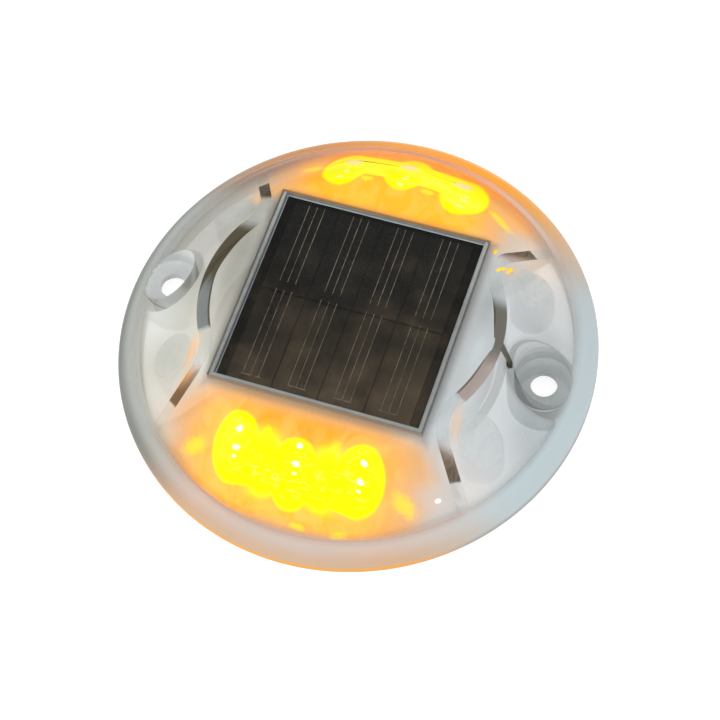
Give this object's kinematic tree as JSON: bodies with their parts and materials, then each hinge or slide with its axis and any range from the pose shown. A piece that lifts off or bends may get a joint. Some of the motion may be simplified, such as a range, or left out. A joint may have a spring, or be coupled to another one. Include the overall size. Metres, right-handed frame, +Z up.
{
  "type": "raised pavement marker",
  "caption": "Round clear solar road stud with a square solar panel in its crown, amber LED groups facing both ways and a screw well on each side.",
  "frame": {"origin": "centre of the underside", "axes": "+Z up, +X towards the right screw hole, +Y along the traffic direction towards the rear LED group"},
  "size_m": [0.12, 0.12, 0.022],
  "materials": {
    "clear_cover": "clear injection-moulded polycarbonate, slightly hazy",
    "amber_lens": "clear amber lens, lit",
    "led_epoxy": "tinted epoxy LED body, lit",
    "white_tray": "white moulded carrier",
    "base_plastic": "grey moulded base plate",
    "seal_rubber": "black silicone gasket",
    "solar_silicon": "monocrystalline silicon with printed fingers",
    "panel_back": "black laminate",
    "panel_resin": "clear epoxy face of the panel",
    "board_laminate": "green circuit board",
    "component_black": "black component package",
    "ferrite": "ferrite drum core",
    "tinned_metal": "tinned steel leads and nickel tabs",
    "can_metal": "nickel-plated can",
    "battery_sleeve": "shrink sleeve",
    "wire_red": "red insulation",
    "wire_black": "black insulation"
  },
  "bodies": {
    "root": {"base_plate": "base_plastic", "battery_cell": "can_metal", "battery_sleeve": "battery_sleeve", "battery_tab_neg": "tinned_metal", "battery_tab_pos": "tinned_metal", "capacitor": "can_metal", "carrier_tray": "white_tray", "charge_diode": "component_black", "circuit_board": "board_laminate", "driver_ic": "component_black", "inductor": "ferrite", "led_front_1": "led_epoxy", "led_front_2": "led_epoxy", "led_front_3": "led_epoxy", "led_lead_front_1_a": "tinned_metal", "led_lead_front_1_k": "tinned_metal", "led_lead_front_2_a": "tinned_metal", "led_lead_front_2_k": "tinned_metal", "led_lead_front_3_a": "tinned_metal", "led_lead_front_3_k": "tinned_metal", "led_lead_rear_1_a": "tinned_metal", "led_lead_rear_1_k": "tinned_metal", "led_lead_rear_2_a": "tinned_metal", "led_lead_rear_2_k": "tinned_metal", "led_lead_rear_3_a": "tinned_metal", "led_lead_rear_3_k": "tinned_metal", "led_lens_front": "amber_lens", "led_lens_rear": "amber_lens", "led_rear_1": "led_epoxy", "led_rear_2": "led_epoxy", "led_rear_3": "led_epoxy", "panel_resin": "panel_resin", "panel_substrate": "panel_back", "panel_wire_neg": "wire_black", "panel_wire_pos": "wire_red", "resistor_1": "component_black", "resistor_2": "component_black", "seal_gasket": "seal_rubber", "solar_cell_1": "solar_silicon", "solar_cell_2": "solar_silicon", "solar_cell_3": "solar_silicon", "solar_cell_4": "solar_silicon", "solar_cell_5": "solar_silicon", "solar_cell_6": "solar_silicon", "solar_cell_7": "solar_silicon", "solar_cell_8": "solar_silicon", "top_cover": "clear_cover"}
  },
  "joints": []
}
